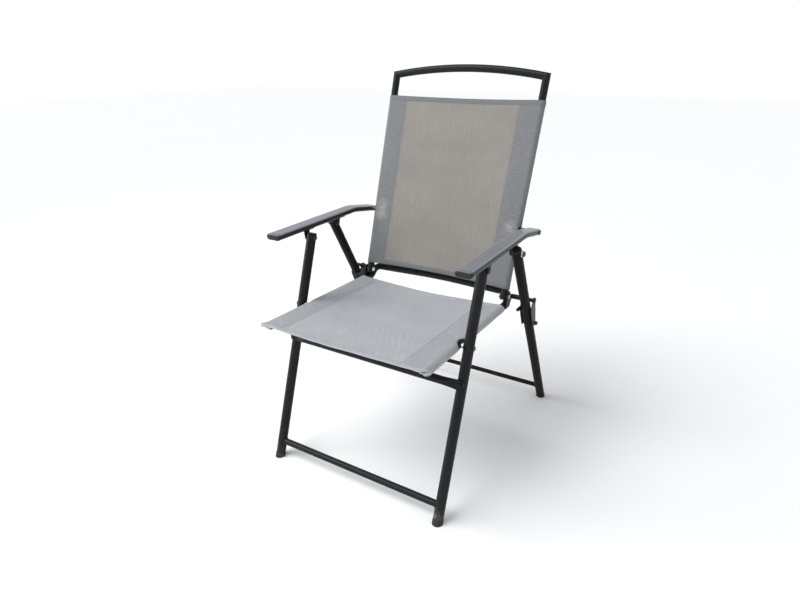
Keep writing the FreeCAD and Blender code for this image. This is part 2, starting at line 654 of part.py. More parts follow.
# ---- rear leg guides ------------------------------------------------------------------
def guide_front_pin_place():
    """Front pin, straight across the rear leg from the axle rod."""
    across = (REAR_DIR[1], -REAR_DIR[0])
    return (GUIDE_PIVOT[0] - across[0] * GUIDE_FRONT_REACH,
            GUIDE_PIVOT[1] - across[1] * GUIDE_FRONT_REACH)


def guide_finger(x0, x1):
    """Finger of the inner plate that carries the front pin."""
    pin_disc = (*guide_front_pin_place(), GUIDE_FINGER[0])
    root_disc = (*GUIDE_OUTLINE[0][:2], GUIDE_FINGER[1])
    return hull_of_discs([pin_disc, root_disc], x0, x1)


def guide_plate(x0, pivots, finger=False):
    """Upright strip beside the rear leg, with holes for the pivots (place, radius)."""
    x1 = x0 + GUIDE_PLATE
    plate = hull_of_discs(GUIDE_OUTLINE, x0, x1)
    if finger:
        plate = plate.fuse(guide_finger(x0, x1)).removeSplitter()
    for place, radius in pivots:
        plate = plate.cut(bar_x(place, x0, x1, radius))
    return plate


def build_guides(nodes):
    front = guide_front_pin_place()
    outer_face = GUIDE_OUTER_X + GUIDE_PLATE
    pad = bar_x(GUIDE_LOW, GUIDE_OUTER_X - GLIDE_PAD, GUIDE_OUTER_X, GLIDE_PAD_R)
    glide = bar_x(GUIDE_LOW, GUIDE_OUTER_X - GLIDE_PAD / 2, outer_face, PIN_R)
    stub = bar_x(GUIDE_LOW, GUIDE_INNER_X, GUIDE_INNER_X + GUIDE_PLATE, PIN_R)
    front_pin = bar_x(front, GUIDE_INNER_X, GUIDE_INNER_X + GUIDE_PLATE + GUIDE_STUB,
                      GUIDE_PIN_R)
    pivots = [(GUIDE_LOW, PIN_R), (GUIDE_PIVOT, AXLE_R + RUN)]
    pieces = {
        "guide_inner_plate": guide_plate(GUIDE_INNER_X, pivots + [(front, GUIDE_PIN_R)],
                                         finger=True),
        "guide_outer_plate": guide_plate(GUIDE_OUTER_X, pivots),
        "guide_front_pin": front_pin.fuse(
            round_head(front, GUIDE_INNER_X, -1, 2 * GUIDE_PIN_R)),
        "guide_glide_pad": pad.cut(glide),
        "guide_glide_rivets": Part.makeCompound([
            glide.fuse(round_head(GUIDE_LOW, outer_face, 1, *GLIDE_HEAD)),
            stub.fuse(round_head(GUIDE_LOW, GUIDE_INNER_X, -1, *STUB_HEAD)),
        ]),
    }
    for name, shape in pieces.items():
        nodes[name + "_right"] = shape
        nodes[name + "_left"] = mirrored(shape)


# ---- everything -----------------------------------------------------------------------
def main():
    nodes = {}
    build_front_frame(nodes)
    build_rear_frame(nodes)
    build_arms(nodes)
    build_seat(nodes)
    build_back(nodes)
    build_guides(nodes)
    os.makedirs("parts", exist_ok=True)
    for name, shape in nodes.items():
        shape.exportStep(os.path.join("parts", name + ".step"))
        print(name, len(shape.Solids), "valid" if shape.isValid() else "INVALID",
              round(sum(s.Volume for s in shape.Solids)))


main()
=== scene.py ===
"""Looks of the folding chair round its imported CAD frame. Metres, in the row frame."""
import json
import math

import bpy
import numpy as np
from mathutils import Matrix, Vector, noise


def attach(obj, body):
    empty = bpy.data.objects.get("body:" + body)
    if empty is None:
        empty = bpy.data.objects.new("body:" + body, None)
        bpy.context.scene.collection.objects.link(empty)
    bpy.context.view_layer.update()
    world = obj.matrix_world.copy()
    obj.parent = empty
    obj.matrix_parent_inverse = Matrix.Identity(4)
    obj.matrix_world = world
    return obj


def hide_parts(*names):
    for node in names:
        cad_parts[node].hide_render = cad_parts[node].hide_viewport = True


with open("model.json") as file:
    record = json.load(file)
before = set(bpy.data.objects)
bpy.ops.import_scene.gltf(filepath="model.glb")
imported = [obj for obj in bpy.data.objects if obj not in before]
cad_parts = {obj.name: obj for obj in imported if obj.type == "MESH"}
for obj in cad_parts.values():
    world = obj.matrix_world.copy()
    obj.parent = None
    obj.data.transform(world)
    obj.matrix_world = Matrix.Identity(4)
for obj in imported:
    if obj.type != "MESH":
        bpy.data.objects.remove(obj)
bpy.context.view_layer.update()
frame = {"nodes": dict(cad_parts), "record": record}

NODES = frame["nodes"]

# ---- places that the CAD settles ------------------------------------------------------
FRONT_FOOT = Vector((0.234, -0.3025, 0.0))
ARM_PIVOT = Vector((0.234, -0.117, 0.549))
REAR_FOOT = Vector((0.2615, 0.3263, 0.0))
ARM_REAR_PIVOT = Vector((0.2615, 0.011, 0.5535))
LEG_R = 0.012
SEAT_X = 0.208
SEAT_DROP = 0.0326
SEAT_PIVOT = Vector((0.0, -0.171738, 0.387))
BACK_X, BACK_TOP_X = 0.2045, 0.212
BACK_PIVOT = Vector((0.0, 0.0985, 0.4035))
ARM_BACK_PIVOT = Vector((0.0, 0.153238, 0.5655))
BACK_LEAN = math.radians(72.0)
BACK_CORNER_Z = 0.920
FRONT_BAR = (0.0399, 0.00825)     # height and radius
REAR_BAR = (0.0505, 0.0065)

CLOTH = 0.0009                    # cloth thickness
SINGLE_SHARE = 0.55               # a single layer's thickness beside a folded hem's
CLOTH_R = 0.0104                  # middle of the cloth round a tube
SLEEVE_GAP = 0.0011               # between the two layers at a sleeve's seam

SEAT_EDGES_Y = (-0.34056, 0.071)  # front and rear edge of the seat's cloth
SEAT_SLEEVE = 0.048               # from the tube to the sleeve's seam
SEAT_SAG = 0.0055
SEAT_HEM = 0.014
SEAT_NOTCH = (0.0145, 0.15, 1.35)  # radius, turn round the tube, length over width
BACK_SPAN = (0.018, 0.485)        # lower and upper edge of the back's cloth
BACK_SLEEVE = 0.047
BACK_SAG = 0.006
BACK_HEM = 0.013
BACK_NOTCH = (0.0095, 0.1, 1.0)


# ---- meshes ---------------------------------------------------------------------------
def new_piece(name, points, faces, smooth=True):
    mesh = bpy.data.meshes.new(name)
    mesh.from_pydata([tuple(p) for p in points], [], faces)
    mesh.validate()
    mesh.update()
    if smooth:
        mesh.shade_smooth()
    piece = bpy.data.objects.new(name, mesh)
    bpy.context.scene.collection.objects.link(piece)
    return piece


def finish_piece(piece, body, material):
    piece.data.materials.clear()
    piece.data.materials.append(material)
    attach(piece, body)
    return piece


# ---- shader nodes ---------------------------------------------------------------------
class Shader:
    """A Principled material and short ways to add nodes to it."""

    def __init__(self, name):
        self.material = bpy.data.materials.new(name)
        self.material.use_nodes = True
        self.tree = self.material.node_tree
        self.principled = self.tree.nodes["Principled BSDF"]

    def put(self, socket, value):
        if isinstance(value, bpy.types.NodeSocket):
            self.tree.links.new(value, socket)
        else:
            socket.default_value = value

    def node(self, kind, inputs=None, **settings):
        made = self.tree.nodes.new(kind)
        for key, value in settings.items():
            setattr(made, key, value)
        for key, value in (inputs or {}).items():
            self.put(made.inputs[key], value)
        return made

    def set(self, **inputs):
        for key, value in inputs.items():
            self.put(self.principled.inputs[key.replace("_", " ")], value)

    def math(self, operation, a, b=0.0, clamp=False):
        made = self.node("ShaderNodeMath", {0: a, 1: b}, operation=operation)
        made.use_clamp = clamp
        return made.outputs[0]

    def place(self):
        return self.node("ShaderNodeTexCoord").outputs["Object"]

    def stretched(self, vector, scale):
        made = self.node("ShaderNodeVectorMath", {0: vector, 1: scale}, operation="MULTIPLY")
        return made.outputs[0]

    def noise(self, vector, scale, detail=2.0, rough=0.5):
        inputs = {"Vector": vector, "Scale": scale, "Detail": detail, "Roughness": rough}
        return self.node("ShaderNodeTexNoise", inputs).outputs["Fac"]

    def ramp(self, value, low, high, to_low=0.0, to_high=1.0):
        inputs = {"Value": value, "From Min": low, "From Max": high,
                  "To Min": to_low, "To Max": to_high}
        return self.node("ShaderNodeMapRange", inputs, clamp=True).outputs["Result"]

    def mix(self, factor, a, b, blend="MIX"):
        made = self.node("ShaderNodeMix", data_type="RGBA", blend_type=blend)
        self.put(made.inputs[0], factor)
        self.put(made.inputs[6], a)
        self.put(made.inputs[7], b)
        return made.outputs[2]

    def bump(self, height, distance, strength=1.0, below=None):
        inputs = {"Height": height, "Distance": distance, "Strength": strength}
        if below is not None:
            inputs["Normal"] = below
        return self.node("ShaderNodeBump", inputs).outputs["Normal"]

    def near(self, vector, centre, radius, soft):
        """1 within radius of centre, 0 beyond radius + soft."""
        inputs = {0: vector, 1: tuple(centre)}
        made = self.node("ShaderNodeVectorMath", inputs, operation="DISTANCE")
        return self.ramp(made.outputs["Value"], radius, radius + soft, 1.0, 0.0)


def grey(value, warm=0.0):
    return (value * (1 + warm), value, value * (1 - warm), 1.0)


def scaled(colour, factor):
    return tuple(factor * c for c in colour[:3]) + (1.0,)


def upper_side(s):
    """1 where a surface of a level piece faces up, 0 on its sides and below."""
    normal = s.node("ShaderNodeTexCoord").outputs["Normal"]
    return s.ramp(s.node("ShaderNodeSeparateXYZ", {0: normal}).outputs["Z"], 0.52, 0.76)


def long_edges(s):
    """1 along the rounded upper edges of a piece that runs front to back."""
    normal = s.node("ShaderNodeTexCoord").outputs["Normal"]
    sideways = s.math("ABSOLUTE", s.node("ShaderNodeSeparateXYZ", {0: normal}).outputs["X"])
    return s.math("MULTIPLY", s.ramp(sideways, 0.10, 0.32), s.ramp(sideways, 0.66, 0.48))


def powder_coat(name, base, rough=(0.36, 0.46), worn_feet=True, lit_top=None, shine=0.25):
    """Satin powder coat: orange peel, faint mottling, a little dust, scuffed feet, and, where a
    top colour is given, painted sky light in that colour on the upper side, with a paler
    painted highlight along its edges."""
    s = Shader(name)
    place = s.place()
    mottle = s.noise(place, 9.0, 3.0)
    colour = s.mix(s.ramp(mottle, 0.35, 0.65), scaled(base, 0.85), scaled(base, 1.15))
    # painted light: the upper side takes a lighter colour as sky light, and its rounded edges a
    # paler painted highlight
    if lit_top:
        sky_lit_top = s.mix(s.ramp(mottle, 0.35, 0.65), scaled(lit_top, 0.93), scaled(lit_top, 1.07))
        # painted highlight along the rounded upper edges
        sky_lit_top = s.mix(s.math("MULTIPLY", long_edges(s), 0.5), sky_lit_top, scaled(lit_top, 1.8))
        colour = s.mix(upper_side(s), colour, sky_lit_top)
    height = s.node("ShaderNodeSeparateXYZ", {0: place}).outputs["Z"]
    low = s.ramp(height, 0.02, 0.30, 1.0, 0.15)
    dust = s.math("MULTIPLY", s.ramp(s.noise(place, 55.0, 6.0, 0.7), 0.54, 0.80), low)
    colour = s.mix(s.math("MULTIPLY", dust, 0.16), colour, grey(0.11, 0.08))
    scratch = s.noise(s.stretched(place, (900.0, 900.0, 40.0)), 1.0, 2.0)
    scratch = s.ramp(scratch, 0.73, 0.79)
    colour = s.mix(s.math("MULTIPLY", scratch, 0.2), colour, grey(0.09))
    rough = s.ramp(mottle, 0.3, 0.7, *rough)
    if worn_feet:
        for sign, amount in ((1, 0.75), (-1, 0.2)):
            foot = Vector((sign * FRONT_FOOT.x - 0.006, FRONT_FOOT.y - 0.004, 0.018))
            area = s.near(place, foot, 0.006, 0.018)
            worn = s.ramp(s.noise(place, 190.0, 5.0, 0.75), 0.42, 0.62)
            worn = s.math("MULTIPLY", s.math("MULTIPLY", area, worn), amount)
            colour = s.mix(worn, colour, (0.22, 0.20, 0.15, 1.0))
            rough = s.math("ADD", rough, s.math("MULTIPLY", worn, 0.3), clamp=True)
    rough = s.math("ADD", rough, s.math("MULTIPLY", dust, 0.15), clamp=True)
    peel = s.noise(place, 700.0, 2.0)
    s.set(Base_Color=colour, Roughness=rough, Normal=s.bump(peel, 0.0001, 0.4))
    s.principled.inputs["Specular IOR Level"].default_value = shine
    return s.material


def moulded_plastic(name, base, lit_top=None):
    """Matte plastic with a fine grain and dust low down, or with a lighter colour painted on
    its top as sky light.
    """
    s = Shader(name)
    place = s.place()
    mottle = s.noise(place, 40.0, 4.0)
    colour = s.mix(s.ramp(mottle, 0.3, 0.7), grey(base * 0.85), grey(base * 1.3))
    # painted sky light: a lighter colour on the upper side
    if lit_top:
        sky_lit_top = s.mix(s.ramp(mottle, 0.3, 0.7), scaled(lit_top, 0.93), scaled(lit_top, 1.07))
        colour = s.mix(upper_side(s), colour, sky_lit_top)
    dust = s.ramp(s.noise(place, 160.0, 5.0, 0.7), 0.55, 0.75)
    height = s.node("ShaderNodeSeparateXYZ", {0: place}).outputs["Z"]
    low = s.ramp(height, 0.004, 0.030, 1.0, 0.12)
    colour = s.mix(s.math("MULTIPLY", dust, low), colour, grey(0.15, 0.12))
    grain = s.noise(place, 1500.0, 2.0)
    rough = s.ramp(mottle, 0.3, 0.7, 0.50, 0.62)
    s.set(Base_Color=colour, Roughness=rough, Normal=s.bump(grain, 0.0001, 0.5))
    s.principled.inputs["Specular IOR Level"].default_value = 0.3
    return s.material


def plated_steel(name, base, rust, metallic=1.0):
    """Zinc plate or dark steel with dull patches and a little tarnish."""
    s = Shader(name)
    place = s.place()
    patch = s.noise(place, 260.0, 4.0, 0.6)
    colour = s.mix(s.ramp(patch, 0.35, 0.65), grey(base * 0.75), grey(base * 1.1))
    spot = s.ramp(s.noise(place, 700.0, 4.0, 0.7), 0.60, 0.72)
    colour = s.mix(s.math("MULTIPLY", spot, rust), colour, (0.16, 0.085, 0.045, 1.0))
    rough = s.ramp(patch, 0.3, 0.7, 0.28, 0.48)
    rough = s.math("ADD", rough, s.math("MULTIPLY", spot, 0.3), clamp=True)
    s.set(Base_Color=colour, Roughness=rough, Normal=s.bump(patch, 0.0001, 0.4))
    s.principled.inputs["Metallic"].default_value = metallic
    return s.material


# ---- cloth ----------------------------------------------------------------------------
THREAD = 0.0011                   # pitch of the mesh weave
RIB = 0.0052                      # pitch of the ribs that two layers make together
PUCKER_PITCH = 0.0156                    # pitch of the seat's faint lighter bands: painted light of the puckers at its front
DRIFT = 0.012                     # how far the ribs wander
WANDER = 0.055                    # and the bands
BAND_SLANT = 0.46                 # of the bands, lengthways over across
TWIST = 2600.0                    # frequency of a sewing thread's twist
HOLE_SHADE = (0.10, -0.03)              # painted shade in the weave's holes: its grey, and its warmth
RUBBED_CLOTH = (0.50, 0.47, 0.44, 1.0)


def sling_cloth(name, single, double, hem_shade, rib_way, rib_depth, pucker_light=0.0,
                wear_marks=()):
    """Coated mesh fabric. The mesh says where each point lies on the flat cloth, in metres,
    and whether it is single (0), doubled by a sleeve (1) or in a hem (2). rib_way is the
    direction across the ribs that two layers make together."""
    s = Shader(name)
    flat = s.node("ShaderNodeAttribute", attribute_name="cloth_place").outputs["Vector"]
    layers = s.node("ShaderNodeAttribute", attribute_name="doubled").outputs["Fac"]
    parts = s.node("ShaderNodeSeparateXYZ", {0: flat})
    u, v = parts.outputs["X"], parts.outputs["Y"]

    def waves(value, pitch):
        return s.math("SINE", s.math("MULTIPLY", value, 2 * math.pi / pitch))

    over = s.math("MULTIPLY", waves(u, 2 * THREAD), waves(v, 2 * THREAD))
    yarn = s.math("MULTIPLY", s.math("ABSOLUTE", waves(u, 2 * THREAD)),
                  s.math("ABSOLUTE", waves(v, 2 * THREAD)))
    weave = s.math("ADD", yarn, s.math("MULTIPLY", over, 0.35))

    # slubs: threads that are thicker for a stretch, along the cloth and a few across it
    along = s.noise(s.stretched(flat, (520.0, 16.0, 1.0)), 1.0, 3.0, 0.65)
    across = s.noise(s.stretched(flat, (22.0, 420.0, 1.0)), 1.0, 2.0, 0.6)
    slub = s.ramp(along, 0.56, 0.74)
    thin_thread = s.ramp(along, 0.44, 0.28)
    streak = s.math("ADD", s.math("SUBTRACT", slub, s.math("MULTIPLY", thin_thread, 0.6)),
                    s.math("MULTIPLY", s.ramp(across, 0.35, 0.68), 0.3))

    # ribs where two layers lie on each other, wandering a little with the cloth's stretch
    drift = s.math("MULTIPLY", s.noise(flat, 22.0, 3.0, 0.6), DRIFT)
    rib_u, rib_v = rib_way
    slant = s.math("ADD", s.math("MULTIPLY", u, rib_u), s.math("MULTIPLY", v, rib_v))
    rib = s.ramp(waves(s.math("ADD", slant, drift), RIB), -0.8, 0.8)
    broken = s.ramp(s.noise(s.stretched(flat, (90.0, 150.0, 1.0)), 1.0, 3.0), 0.35, 0.65)
    rib = s.math("MULTIPLY", rib, broken)
    # painted shade of the cloth's broad undulations: the cloth is darker where this is high
    ripple_shade = s.ramp(s.noise(s.stretched(flat, (4.0, 13.0, 1.0)), 1.0, 3.0), 0.35, 0.65)

    thin = s.mix(s.ramp(streak, -0.4, 1.1), scaled(single, 0.80), scaled(single, 1.30))
    thin = s.mix(s.math("MULTIPLY", ripple_shade, 0.5), thin, scaled(single, 0.80))
    thick = s.mix(rib, scaled(double, 1 - rib_depth), scaled(double, 1 + rib_depth))
    thick = s.mix(s.math("MULTIPLY", slub, 0.3), thick, scaled(double, 1.2))
    thick = s.mix(s.math("MULTIPLY", ripple_shade, 0.4), thick, scaled(double, 0.9))
    colour = s.mix(s.math("MINIMUM", layers, 1.0), thin, thick)
    hem = s.math("SUBTRACT", layers, 1.0, clamp=True)
    colour = s.mix(hem, colour, scaled(double, hem_shade))
    # painted light: lighter bands across the front of the seat, standing for the shading of its
    # puckers
    if pucker_light:
        wander = s.math("MULTIPLY", s.noise(flat, 8.0, 3.0, 0.6), WANDER)
        bands = s.math("ADD", s.math("ADD", u, s.math("MULTIPLY", v, BAND_SLANT)), wander)
        bands = s.ramp(waves(bands, PUCKER_PITCH), -0.7, 0.9)
        patch = s.ramp(s.noise(flat, 14.0, 2.0), 0.38, 0.62)
        front = s.ramp(v, 0.04, -0.07)
        front = s.math("MULTIPLY", front, s.ramp(layers, 0.0, 1.0, pucker_light, 0.0))
        bands = s.math("MULTIPLY", s.math("MULTIPLY", bands, patch), front)
        colour = s.mix(bands, colour, scaled(single, 1.25))
    # painted shade: the weave's holes darker
    colour = s.mix(s.ramp(weave, 0.1, 0.9, 0.22, 0.0), colour, grey(*HOLE_SHADE))
    wobble = s.math("MULTIPLY", s.noise(flat, 48.0, 5.0, 0.65), 0.05)
    for centre, radius, amount in wear_marks:
        made = s.node("ShaderNodeVectorMath", {0: flat, 1: centre}, operation="DISTANCE")
        away = s.math("ADD", made.outputs["Value"], wobble)
        mark = s.ramp(away, 0.014 + radius, 0.040 + radius, 1.0, 0.0)
        colour = s.mix(s.math("MULTIPLY", mark, amount), colour, RUBBED_CLOTH)
    height = s.math("ADD", weave, s.math("MULTIPLY", streak, 0.35))
    normal = s.bump(height, 0.00022, 0.75)
    s.set(Base_Color=colour, Roughness=s.ramp(weave, 0.0, 1.0, 0.72, 0.58), Normal=normal)
    s.principled.inputs["Specular IOR Level"].default_value = 0.3
    s.principled.inputs["Sheen Weight"].default_value = 0.1
    s.principled.inputs["Sheen Roughness"].default_value = 0.5
    return s.material


def thread_material(name, colour):
    """Sewing thread, darker and lighter with its twist."""
    s = Shader(name)
    place = s.place()
    twist = s.noise(s.stretched(place, (TWIST, TWIST, TWIST)), 1.0, 2.0)
    shade = s.mix(twist, scaled(colour, 0.7), colour)
    s.set(Base_Color=shade, Roughness=s.ramp(twist, 0.0, 1.0, 0.7, 0.5),
          Normal=s.bump(twist, 0.0001, 0.6))
    return s.material


LOWER_STEPS = 10                  # grid steps over a sleeve's lower layer
ARC_STEPS = 26                    # round the tube
COLUMN = 0.005                    # grid steps from the tube to the middle
ROW = 0.005                       # and along the tubes
FINE = 0.0013                     # round a notch
HEM_EDGE = 0.0005                 # half width of the step at a hem or seam
MOUTH = 0.026                     # length over which an open sleeve end collapses
MOUTH_SQUASH = 0.86
MOUTH_SPREAD = 0.15
TOP_OF_TUBE = 2.5 * math.pi       # turn at which the cloth leaves the tube for the middle
STEADY_SAG = 0.7                  # share of the sag that is there at the ends too
SLOW_WAVE = 0.0022                # height of the cloth's slow unevenness
FINE_WAVE = 0.0006                # and of its fine one
PULL = 0.0011                     # height of the pulls that fan out from a notch
PULL_REACH = 0.045
DENT = 0.0004                     # depth of the dent along a seam
DENT_WIDTH = 0.0016
RIM = 1.6 * FINE                  # points this near a notch are drawn onto its edge
STITCH_PITCH = 0.0048
STITCH = 0.0036                   # length of one stitch
THREAD_R = 0.00036
THREAD_SIDES = 6


def smooth_step(x):
    x = np.clip(x, 0.0, 1.0)
    return x * x * (3 - 2 * x)


def noise_at(x, y, z):
    """Perlin noise for arrays of x and y."""
    flat = [noise.noise(Vector((a, b, z))) for a, b in zip(np.ravel(x), np.ravel(y))]
    return np.array(flat).reshape(np.shape(x))


class Sling:
    """A cloth panel between two tubes, sewn into a sleeve round each of them.

    A point of the flat cloth is (u, s): u metres across from the middle, s metres along.
    width(s) is half the distance between the tubes, lap the depth of a sleeve, and mouth
    how far the sleeves' low ends collapse."""

    def __init__(self, start, along, out, width, span, lap, sag, hem, notch, seed,
                 end_shift, mouth):
        self.start, self.along, self.out = start, along, out
        self.width, self.span, self.lap, self.sag = width, span, lap, sag
        self.hem, self.seed = hem, seed
        self.notch_s, self.notch_r, notch_turn, self.notch_long = notch
        self.end_shift, self.mouth = end_shift, mouth
        seam = Vector((-lap, CLOTH_R - SLEEVE_GAP))
        angle = math.atan2(seam.y, seam.x) + math.acos(CLOTH_R / seam.length)
        touch = Vector((math.cos(angle), math.sin(angle))) * CLOTH_R
        turns = np.linspace(angle, TOP_OF_TUBE, ARC_STEPS * 4)
        self.lower = (touch - seam).length
        self.arc = CLOTH_R * (TOP_OF_TUBE - angle)
        self.half = self.lower + self.arc + width(0.0)
        self.notch_u = self.half - self.lower - CLOTH_R * (2 * math.pi + notch_turn - angle)
        x = np.concatenate([[seam.x], CLOTH_R * np.cos(turns), [-width(0.0)]])
        h = np.concatenate([[seam.y], CLOTH_R * np.sin(turns), [CLOTH_R]])
        t = np.concatenate([[0.0], self.lower + (turns - angle) * CLOTH_R, [self.half]])
        self.table = t, x, h

    def columns(self):
        """Grid places across the right half, from the hidden seam to the middle."""
        low = np.linspace(0, self.lower, LOWER_STEPS, endpoint=False)
        arc = self.lower + np.linspace(0, self.arc, ARC_STEPS, endpoint=False)
        flat = self.width(0.0)
        top = np.linspace(0, flat, int(flat / COLUMN) + 1)
        seam = self.lap + HEM_EDGE * np.array([-3.0, -1.0, 1.0, 3.0])
        top = top[np.all(np.abs(top[:, None] - seam) > 2 * HEM_EDGE, axis=1)]
        top = np.sort(np.concatenate([top, seam]))
        return self.half - np.concatenate([low, arc, self.lower + self.arc + top])

    def rows(self):
        """Grid places along the cloth, finer round the notches and at the hems."""
        low, high = self.span
        lines = np.linspace(low, high, int((high - low) / ROW) + 1)
        reach = 1.4 * self.notch_r * self.notch_long
        fine = np.arange(self.notch_s - reach, self.notch_s + reach, FINE)
        keep = (lines < fine[0] - FINE) | (lines > fine[-1] + FINE)
        lines = np.concatenate([lines[keep], fine])
        for edge in (low + self.hem, high - self.hem):
            lines = lines[np.abs(lines - edge) > 3 * HEM_EDGE]
            lines = np.concatenate([lines, [edge - HEM_EDGE, edge + HEM_EDGE]])
        return np.sort(lines)

    def place(self, u, s, lift=0.0):
        """Points of the cloth's middle surface, lifted off it towards its outer side."""
        u, s = np.broadcast_arrays(np.asarray(u, float), np.asarray(s, float))
        low, high = self.span
        t_of, x_of, h_of = self.table
        t = np.clip(self.half - np.abs(u), 0.0, self.half)
        x_rel, h = np.interp(t, t_of, x_of), np.interp(t, t_of, h_of)
        step = 1e-5
        dx = np.interp(t + step, t_of, x_of) - np.interp(t - step, t_of, x_of)
        dh = np.interp(t + step, t_of, h_of) - np.interp(t - step, t_of, h_of)
        size = np.maximum(np.hypot(dx, dh), 1e-12)
        x_rel = x_rel + dh / size * lift
        h = h - dx / size * lift
        width, width_0 = self.width(s), self.width(0.0)
        on_top = t > self.lower + self.arc
        x = np.where(on_top, width * (1 + x_rel / width_0), width + x_rel)
        side = np.where(u < 0, -1.0, 1.0)

        # past the tube's end a sleeve collapses: its lower layer rises to the upper one
        mouth = smooth_step(1 - (s - low) / MOUTH) * self.mouth
        h = np.where(on_top, h, CLOTH_R - (CLOTH_R - h) * (1 - MOUTH_SQUASH * mouth))
        beyond = np.maximum(x - width, 0.0)
        x = np.where(on_top, x, x + beyond * MOUTH_SPREAD * mouth)

        inside = np.clip(1 - (np.abs(x) / width) ** 2, 0, 1)
        follow = np.where(on_top, 1.0, np.clip(1 - t / self.lower, 0, 1))
        span_share = np.clip((s - low) / (high - low), 0, 1)
        sag = STEADY_SAG + (1 - STEADY_SAG) * np.sin(np.pi * span_share)
        sag = self.sag * inside * sag
        h = h - sag * follow
        h = h + self.ripple(side * x, s, inside) * follow
        near_seam = np.exp(-((width - x - self.lap) / DENT_WIDTH) ** 2)
        h = h - np.where(on_top, DENT * near_seam, 0.0)

        s = s + self.end_shift(side * x / width, np.clip(t, 0, self.half), s, low, high)
        start, along, out = (np.array(v) for v in (self.start, self.along, self.out))
        across = np.stack([side * x, np.zeros_like(x), np.zeros_like(x)], axis=-1)
        return start + across + s[..., None] * along + h[..., None] * out

    def ripple(self, x, s, inside):
        """Slow unevenness of the cloth, and pulls that fan out from the notches."""
        slow = noise_at(x * 8.0, s * 10.0, self.seed) * SLOW_WAVE
        fine = noise_at(x * 26.0, s * 20.0, self.seed + 7.0) * FINE_WAVE
        edge = np.clip(inside * 5.0, 0, 1)
        away = np.hypot(self.width(s) - np.abs(x), s - self.notch_s)
        turn = np.arctan2(s - self.notch_s, self.width(s) - np.abs(x))
        pull = np.sin(turn * 7.0) * np.exp(-away / PULL_REACH) * PULL
        return (slow + fine) * edge + pull * np.clip(inside * 9.0, 0, 1)

    def build(self, name):
        """The cloth's mesh, with what its material needs and a real thickness."""
        half = self.columns()
        u_line = np.concatenate([half, -half[-2::-1]])
        s_line = self.rows()
        u, s = np.meshgrid(u_line, s_line)
        gone = np.zeros(u.shape, bool)
        for side in (-1, 1):
            du, ds = u - side * self.notch_u, s - self.notch_s
            away = np.hypot(du, ds / self.notch_long)
            gone |= away < self.notch_r
            rim = (away >= self.notch_r) & (away < self.notch_r + RIM)
            scale = np.where(rim, self.notch_r / np.maximum(away, 1e-9), 1.0)
            u = side * self.notch_u + du * scale
            s = self.notch_s + ds * scale
        points = self.place(u, s)
        low, high = self.span
        top_x = self.half - np.abs(u) - self.lower - self.arc
        in_sleeve = (top_x < self.lap).astype(float)
        in_hem = ((s < low + self.hem) | (s > high - self.hem)).astype(float)
        doubled = np.maximum(in_sleeve, 2 * in_hem)
        index = -np.ones(u.shape, int)
        index[~gone] = np.arange((~gone).sum())
        corners = [index[:-1, :-1], index[:-1, 1:], index[1:, 1:], index[1:, :-1]]
        quads = np.stack(corners, axis=-1).reshape(-1, 4)
        quads = quads[(quads >= 0).all(axis=1)]
        piece = new_piece(name, points[~gone], quads.tolist())
        mesh = piece.data
        mesh.attributes.new("cloth_place", "FLOAT_VECTOR", "POINT")
        flat = np.stack([u, s, np.zeros_like(u)], axis=-1)[~gone]
        mesh.attributes["cloth_place"].data.foreach_set("vector", flat.ravel())
        mesh.attributes.new("doubled", "FLOAT", "POINT")
        mesh.attributes["doubled"].data.foreach_set("value", doubled[~gone])
        group = piece.vertex_groups.new(name="thickness")
        thick = np.where(in_hem[~gone] > 0, 1.0, SINGLE_SHARE)
        for level in (1.0, SINGLE_SHARE):
            group.add(np.flatnonzero(thick == level).tolist(), level, "REPLACE")
        solid = piece.modifiers.new("cloth", "SOLIDIFY")
        solid.thickness = CLOTH / SINGLE_SHARE
        solid.offset = 0.0
        solid.vertex_group = "thickness"
        solid.use_even_offset = False
        return piece

    def stitches(self, name, lines):
        """Threads along lines of (u, s) ends, a lift and the pitch of the stitches."""
        points, faces = [], []
        for (ua, sa), (ub, sb), lift in lines:
            length = math.hypot(ub - ua, sb - sa)
            count = int(length / STITCH_PITCH)
            f = (np.arange(count) + 0.5) / count
            reach = 0.5 * STITCH / length
            a = self.place(ua + (ub - ua) * (f - reach), sa + (sb - sa) * (f - reach), lift)
            b = self.place(ua + (ub - ua) * (f + reach), sa + (sb - sa) * (f + reach), lift)
            top = self.place(ua + (ub - ua) * f, sa + (sb - sa) * f, lift + 0.001)
            for p, q, r in zip(a, b, top):
                add_thread(points, faces, Vector(p), Vector(q), Vector(r))
        return new_piece(name, points, faces)


def add_thread(points, faces, a, b, above):
    """One stitch from a to b: a thread that rises out of the cloth and dips back in."""
    along = (b - a).normalized()
    up = (above - (a + b) / 2).normalized()
    across = along.cross(up)
    first = len(points)
    rings = ((0.0, -0.9, 0.5), (0.12, 0.0, 0.85), (0.5, 0.55, 1.0), (0.88, 0.0, 0.85),
             (1.0, -0.9, 0.5))
    for share, rise, thick in rings:
        centre = a.lerp(b, share) + up * (rise * THREAD_R)
        for k in range(THREAD_SIDES):
            turn = 2 * math.pi * k / THREAD_SIDES
            points.append(centre + (across * math.cos(turn) + up * math.sin(turn))
                          * (THREAD_R * thick))
    for ring in range(len(rings) - 1):
        for k in range(THREAD_SIDES):
            p = first + ring * THREAD_SIDES + k
            q = first + ring * THREAD_SIDES + (k + 1) % THREAD_SIDES
            faces.append((p, q, q + THREAD_SIDES, p + THREAD_SIDES))
    last = first + (len(rings) - 1) * THREAD_SIDES
    faces.append(tuple(range(first + THREAD_SIDES - 1, first - 1, -1)))
    faces.append(tuple(range(last, last + THREAD_SIDES)))


# ---- welds ----------------------------------------------------------------------------
WELD_R = 0.0016
WELD_STEPS, WELD_SIDES = 72, 8
WELD_LUMPS = 14                   # round one bead
WELD_UNEVEN = 0.16


